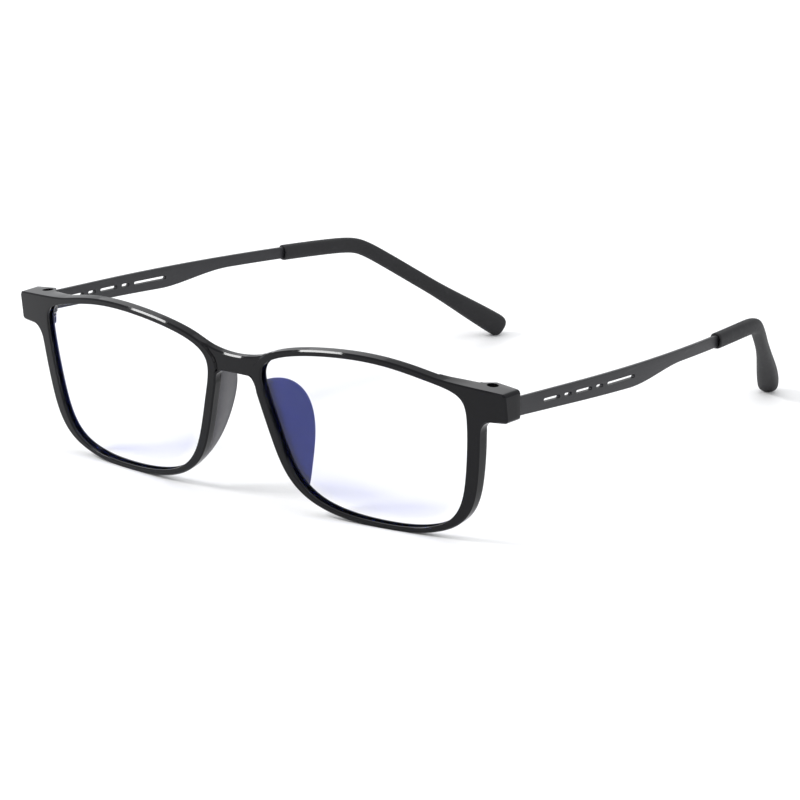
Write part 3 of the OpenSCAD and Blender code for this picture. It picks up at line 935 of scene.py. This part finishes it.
@dataclass
class NosePad:
    """Moulded pad that stands on the back of the rim beside the nose.

    Cross sections at heights s are carried up the rim; their reach follows
    (1 - u)^0.4 times (1 + u)^0.8, with u from -1 at the foot to 1 at the top.
    """

    stance: Stance
    reach: float = 9.6
    flare: float = 0.25
    thick: float = 1.5
    height: float = 24.0
    low: float = 0.085
    depth: float = 2.4

    def build(self, side: Side, finishes: Finishes) -> bpy.types.Object:
        """Makes the pad of one side."""
        o = self.stance.outline
        u = np.sin(np.linspace(-math.pi / 2, math.pi / 2, 66))
        s = o.middle[1] - self.low * o.height + u * self.height / 2
        t = np.linspace(12.6, 18.2, 500)
        e, w = o.edge(t), o.rim(t)
        x0 = np.interp(s, w[:, 1], w[:, 0]) + 0.05
        x1 = np.interp(s, e[:, 1], e[:, 0]) - 0.3
        bulge = np.maximum(0.02, (1 - u) ** 0.4 * (1 + u) ** 0.8 / 1.05)
        r = self.thick / 2 * np.maximum(0.25, (1 - u * u) ** 0.25)
        cx, cd = x0 + r + self.flare * self.reach * bulge, self.depth + self.reach * bulge - r
        cd = np.maximum(cd, self.depth + 0.05)
        root = self.depth - 0.3
        q = np.radians(np.linspace(180, 0, 22))
        tip_x = cx[:, None] + r[:, None] * np.cos(q)
        tip_d = np.maximum(cd[:, None] + r[:, None] * np.sin(q), self.depth + 0.05)
        k = np.linspace(0, 1, 14)[None, :-1]
        h = k * k * (3 - 2 * k)
        left_x = x0[:, None] + (tip_x[:, :1] - x0[:, None]) * (0.55 * k**1.5 + 0.45 * h)
        left_d = root + (tip_d[:, :1] - root) * k
        right_x = x1[:, None] + (tip_x[:, -1:] - x1[:, None]) * (1 - (1 - k) ** 2)
        right_d = root + (tip_d[:, -1:] - root) * k
        x = np.concatenate([left_x, tip_x, right_x[:, ::-1]], axis=1)
        d = np.concatenate([left_d, tip_d, right_d[:, ::-1]], axis=1)
        skin = self.stance.place(x, s[:, None] + 0 * x, d) * [side.value, 1, 1]
        obj = tube(f"nose_pad_soft_{side.word}", skin)
        return dress(obj, finishes.pad, "pad_satin", Body.FRONT, f"nose_pad_{side.word}")


# ---------------------------------------------------------------- the temples


@dataclass
class TempleLine:
    """Middle line of a temple from the hinge axis back, in side view and plan."""

    hinge: HingePlace
    length: float = 137.0
    blade_t: float = 1.0
    blade_h: float = 4.2
    blade_grow: float = 0.7
    blade_low: float = 0.25
    core_h: float = 2.7
    fall: float = 0.06
    straight_l: float = 23.0
    curve_r: float = 330.0
    turn_in: float = 0.3
    slot_l: tuple[float, ...] = (5.8, 2.6, 5.8, 2.6, 10.8)
    slot_h: float = 0.8
    slot_gap: float = 1.6
    slot_start: float = 11.2
    tip_l: float = 54.5
    bend_l: float = 32.0
    bend_soft: float = 3.0
    axis_in: float = 5.8
    flare: float = 1.6
    clear: float = 0.12
    wall: float = 0.45
    slope_down: float = field(init=False)

    def __post_init__(self) -> None:
        """Halves an interval until the tip just reaches the floor, as it stands."""
        eye_low, eye_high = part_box("hinge_eye_left")
        self.top = (eye_low.z + eye_high.z) / 2 / MM - self.blade_low + self.blade_h / 2
        self.tip_y, self.bend_y = self.length - self.tip_l, self.length - self.bend_l
        self.taper_y = self.slot_start + sum(self.slot_l) + 4 * self.slot_gap - 1.5
        a, b = 0.2, 2.5
        y = self.length - np.arange(13) * self.tip_l / 60
        for _ in range(24):
            k = (a + b) / 2
            half = self.tip_half(y) * self.tip_scale(y) / math.sqrt(1 + k * k)
            low = self.straight_z(y) - k * self.ramp(y) - half
            a, b = (k, b) if low.min() > self.clear else (a, k)
        self.slope_down = (a + b) / 2

    def ramp(self, y: np.ndarray) -> np.ndarray:
        """Smooth ramp that starts at the bend: half of root(v^2 + soft^2) + v."""
        v = y - self.bend_y
        return (np.sqrt(v * v + self.bend_soft**2) + v) / 2

    def inward(self, y: np.ndarray) -> np.ndarray:
        """How far the temple has curved towards the head at y."""
        late = np.maximum(y - self.straight_l, 0.0)
        return self.turn_in * (self.ramp(y) - self.ramp(0.0)) + late * late / (2 * self.curve_r)

    def straight_z(self, y: np.ndarray) -> np.ndarray:
        """Height of the middle line without the bend."""
        return self.top - self.fall * y - self.core_h / 2

    def mid_z(self, y: np.ndarray) -> np.ndarray:
        """Height of the middle line of the core."""
        return self.straight_z(y) - self.slope_down * self.ramp(y)

    def height(self, y: np.ndarray) -> np.ndarray:
        """Height of the blade at y, tapering to the core after the slots."""
        full = self.blade_h + self.blade_grow * np.minimum(1.0, y / self.taper_y)
        return full + (self.core_h - full) * ease((y - self.taper_y) / 22)

    def tip_half(self, y: np.ndarray) -> np.ndarray:
        """Half the height of the tip at y."""
        u = (y - self.tip_y) / self.tip_l
        return (self.core_h + 2 * self.wall + self.flare * ease((u - 0.7) / 0.28)) / 2

    def tip_scale(self, y: np.ndarray) -> np.ndarray:
        """Share of its full section that the tip has left where its end rounds off."""
        part = 0.035
        c = np.maximum(0.0, (y - self.length) / self.tip_l + part) / part
        return np.maximum(1e-5, 1 - c**3) ** 0.35

    def spine(self, y: np.ndarray) -> np.ndarray:
        """Points of the middle line, from the hinge axis."""
        return np.stack([self.axis_in - 0.5 - self.blade_t / 2 - self.inward(y), y, self.mid_z(y)], axis=-1)

    def frame_at(self, y: np.ndarray) -> tuple[np.ndarray, np.ndarray]:
        """Directions across and up at y.

        Args:
            y: Distances behind the hinge axis.

        Returns:
            Unit vectors that point outwards from the head, and up the temple.
        """
        along = unit(self.spine(y + 0.05) - self.spine(y - 0.05))
        across = unit(np.cross(along, [0.0, 0.0, 1.0]))
        return across, np.cross(across, along)

    def stand(self, points: np.ndarray, side: Side) -> np.ndarray:
        """Moves points from the hinge axis to their place on one side."""
        return (points + [self.hinge.x, self.hinge.y, 0.0]) * [side.value, 1, 1]


@dataclass
class TempleBlade:
    """Flat metal blade with five slots: a rounded section carried along the line."""

    line: TempleLine
    edge_r: float = 0.22

    def _slots(self, side: Side) -> list[bpy.types.Object]:
        """Closed shapes with round ends that cut the slots."""
        l, made, y = self.line, [], self.line.slot_start
        for i, length in enumerate(l.slot_l):
            r = l.slot_h / 2
            q = np.radians(np.linspace(0, 180, 13))
            ends = [np.stack([np.array(length - r) + r * np.sin(q), r * np.cos(q)], axis=1),
                    np.stack([r - r * np.sin(q), -r * np.cos(q)], axis=1)]
            plan = np.concatenate(ends)
            mid = y + length / 2
            z = l.top - l.fall * (y + plan[:, 0]) - l.height(np.array(mid)) / 2 + plan[:, 1]
            ring = np.stack([np.zeros(len(plan)), y + plan[:, 0], z], axis=1)
            x = float(l.spine(np.array(mid))[0])
            rings = np.stack([ring + [x - 3, 0, 0], ring + [x + 3, 0, 0]])
            made.append(tube(f"cut_slot_{i}_{side.word}", l.stand(rings, side)))
            y += length + l.slot_gap
        return made

    def build(self, side: Side, finishes: Finishes) -> bpy.types.Object:
        """Makes the blade of one side."""
        l, r = self.line, self.edge_r
        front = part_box(f"temple_blade_{side.word}")[0].y / MM - l.hinge.y
        y = np.concatenate([[front, front + 0.15], np.linspace(front + 0.4, l.tip_y + 4, 180)])
        inset = np.concatenate([[r * 0.8, r * 0.25], np.zeros(180)])
        across, up = l.frame_at(y)
        q = np.radians(np.linspace(0, 90, 5))
        rounds = [(1, 1, 0), (-1, 1, 90), (-1, -1, 180), (1, -1, 270)]
        section, points = [], []
        for sx, sz, turn in rounds:
            for a in q:
                way = a + math.radians(turn)
                section.append((sx, sz, r * (math.cos(way) - sx), r * (math.sin(way) - sz)))
        spine = l.spine(y)
        top, low = l.core_h / 2, l.height(y) - l.core_h / 2
        for sx, sz, dx, dz in section:
            w = sx * (l.blade_t / 2 - inset) + dx
            h = np.where(sz > 0, top - inset, -(low - inset)) + dz
            points.append(spine + across * w[:, None] + up * h[:, None])
        skin = l.stand(np.stack(points, axis=1), side)
        obj = tube(f"temple_blade_coated_{side.word}", skin)
        cut(obj, self._slots(side), 35)
        return dress(obj, finishes.coat, "temple_metal", side.temple, f"temple_blade_{side.word}")


@dataclass
class TempleTip:
    """Soft sleeve with an open mouth, bent down behind the ear and flared.

    Sections are the curve |x/w|^p + |z/h|^p = 1, carried along the line; the
    skin starts inside the mouth, rolls over its lip and runs to the closed end.
    """

    line: TempleLine
    thick: float = 3.0
    lip: float = 0.3
    mouth: float = 1.8
    bulge: float = 2.0

    def build(self, side: Side, finishes: Finishes) -> bpy.types.Object:
        """Makes the tip of one side."""
        l = self.line
        main = np.linspace(l.tip_y + self.lip, l.length * 0.985, 150)
        last = l.length - (l.length * 0.015) * (1 - np.sin(np.linspace(0.04, 1, 16) * math.pi / 2))
        roll = np.radians(np.linspace(0, 180, 9))
        rolled = l.tip_y + self.lip * (1 - np.sin(roll))
        y = np.concatenate([[l.tip_y + self.mouth] * 2, rolled, main[1:], last])
        n = len(roll)
        size = np.concatenate([[0.01, 1], np.ones(n), np.ones(len(y) - 2 - n)])
        wall = np.concatenate([[0.6, 0.6], self.lip * (1 + np.cos(roll)), np.zeros(len(y) - 2 - n)])
        size = size * l.tip_scale(y)
        grown = self.thick + self.bulge * ease(((y - l.tip_y) / l.tip_l - 0.6) / 0.35)
        w = size * (grown / 2 - wall)
        h = size * (l.tip_half(y) - wall)
        q = np.linspace(0, 2 * math.pi, 56, endpoint=False)
        c, s = np.cos(q), np.sin(q)
        sx, sz = np.sign(c) * np.abs(c) ** 0.75, np.sign(s) * np.abs(s) ** 0.75
        across, up = l.frame_at(y)
        skin = (l.spine(y)[:, None, :] + (w[:, None] * sx)[..., None] * across[:, None, :]
                + (h[:, None] * sz)[..., None] * up[:, None, :])
        obj = tube(f"temple_tip_soft_{side.word}", l.stand(skin, side))
        smooth(obj.data, 50)
        return dress(obj, finishes.rubber, "tip_rubber", side.temple, f"temple_tip_{side.word}")


class HingeSet:
    """The hinge pieces, which keep their CAD shapes and get real metal looks."""

    LOOKS = {"hinge_bush": "brass", "hinge_insert": "brass", "hinge_screw": "steel",
             "hinge_washer_upper": "nylon", "hinge_washer_lower": "nylon", "hinge_eye": "eye"}

    def dress(self, finishes: Finishes) -> None:
        """Puts the right material on each kept CAD piece."""
        for stem, look in self.LOOKS.items():
            for side in Side:
                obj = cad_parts[f"{stem}_{side.word}"]
                obj.data.materials.clear()
                obj.data.materials.append(getattr(finishes, look))
                LOG.info("%s: %s", obj.name, look)


# ---------------------------------------------------------------- the studio


@dataclass
class Studio:
    """Pale floor, soft lamps and the camera."""

    stance: Stance
    azimuth: float = 38.8257
    elevation: float = 16.2014
    roll: float = -0.2877
    distance: float = 1406.27
    lens: float = 284.25
    target_x: float = 21.955
    target_z: float = 20.893
    target_behind: float = 30.0
    floor_z: float = -0.02

    def camera(self) -> bpy.types.Object:
        """Camera far off with a long lens, turned by a hair about its own axis."""
        a, e, r = (math.radians(v) for v in (self.azimuth, self.elevation, self.roll))
        back = Vector((math.sin(a) * math.cos(e), -math.cos(a) * math.cos(e), math.sin(e)))
        right = Vector((math.cos(a), math.sin(a), 0.0))
        up = back.cross(right)
        right, up = right * math.cos(r) + up * math.sin(r), up * math.cos(r) - right * math.sin(r)
        c, w = math.cos(math.radians(self.stance.tilt)), math.sin(math.radians(self.stance.tilt))
        face_y = self.stance.back - (20.0 + self.stance.drop) / c * w
        target = Vector((self.target_x, face_y + self.target_behind, self.target_z))
        data = bpy.data.cameras.new("camera")
        data.lens, data.sensor_width = self.lens, 36.0
        data.clip_start, data.clip_end = 0.05, 20.0
        cam = bpy.data.objects.new("camera", data)
        bpy.context.scene.collection.objects.link(cam)
        turn = Matrix((right, up, back)).transposed().to_4x4()
        cam.matrix_world = Matrix.Translation((target + back * self.distance) * MM) @ turn
        bpy.context.scene.camera = cam
        return cam

    def floor(self, finishes: Finishes) -> bpy.types.Object:
        """Wide flat floor just under the glasses."""
        q = np.linspace(0, 2 * math.pi, 96, endpoint=False)
        r = np.array([0.0, 40.0, 150.0, 500.0, 1500.0, 4000.0])
        level = np.full((len(r), len(q)), self.floor_z)
        pts = np.stack([np.outer(r, np.cos(q)), np.outer(r, np.sin(q)), level], axis=-1)
        p, f = weld(pts.reshape(-1, 3), grid_faces(len(r), len(q), False, True)[:, ::-1])
        data = bpy.data.meshes.new("floor_pale")
        data.from_pydata((p * MM).tolist(), [], f)
        obj = bpy.data.objects.new("floor_pale", data)
        bpy.context.scene.collection.objects.link(obj)
        data.materials.append(finishes.floor)
        if data.polygons[0].normal.z < 0:
            data.flip_normals()
        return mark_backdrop(obj)

    def lamp(self, name: str, place: tuple[float, float, float], size: tuple[float, float], power: float,
             colour: Colour = (1.0, 1.0, 1.0)) -> bpy.types.Object:
        """Adds a soft rectangular lamp that faces the glasses.

        Args:
            name: Name of the lamp.
            place: Its place in metres.
            size: Its width and height in metres.
            power: Its power in watts.
            colour: Its colour.

        Returns:
            The lamp.
        """
        data = bpy.data.lights.new(name, "AREA")
        data.shape, data.size, data.size_y, data.energy, data.color = "RECTANGLE", *size, power, colour
        obj = bpy.data.objects.new(name, data)
        obj.location = place
        obj.rotation_euler = (-Vector(place)).to_track_quat("-Z", "Y").to_euler()
        bpy.context.scene.collection.objects.link(obj)
        return obj

    def lights(self) -> None:
        """Soft light from above and the sides, and an even dim surround."""
        self.lamp("lamp_top", (0.1, 0.1, 1.6), (2.2, 2.2), 7)
        self.lamp("lamp_key", (-0.95, -0.7, 1.0), (0.42, 0.2), 10)
        self.lamp("lamp_back", (-0.96, 1.04, 0.78), (1.1, 0.6), 1.2)
        self.lamp("lamp_right", (1.5, 0.1, 0.7), (1.2, 1.0), 5)
        world = bpy.data.worlds.new("surround")
        world.use_nodes = True
        world.node_tree.nodes["Background"].inputs[0].default_value = (0.97, 0.98, 1.0, 1.0)
        world.node_tree.nodes["Background"].inputs[1].default_value = 0.85
        bpy.context.scene.world = world
        bpy.context.scene.view_settings.view_transform = "Standard"

    def build(self, finishes: Finishes) -> None:
        """Sets up floor, lamps and camera."""
        self.camera()
        self.floor(finishes)
        self.lights()


def write_sizes() -> None:
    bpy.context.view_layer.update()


def main() -> None:
    """Builds every part in order and reports each piece."""
    logging.basicConfig(level=logging.INFO, format="%(name)s: %(message)s")
    finishes = Finishes()
    stance = Stance(LensOutline())
    hinge = HingePlace()
    line = TempleLine(hinge)
    Studio(stance).build(finishes)
    FrontFrame(stance).build(finishes, hinge)
    for side in Side:
        Lens(stance).build(side, finishes)
        NosePad(stance).build(side, finishes)
        TempleBlade(line).build(side, finishes)
        TempleTip(line).build(side, finishes)
    HingeSet().dress(finishes)
    write_sizes()


if __name__ == "__main__":
    main()
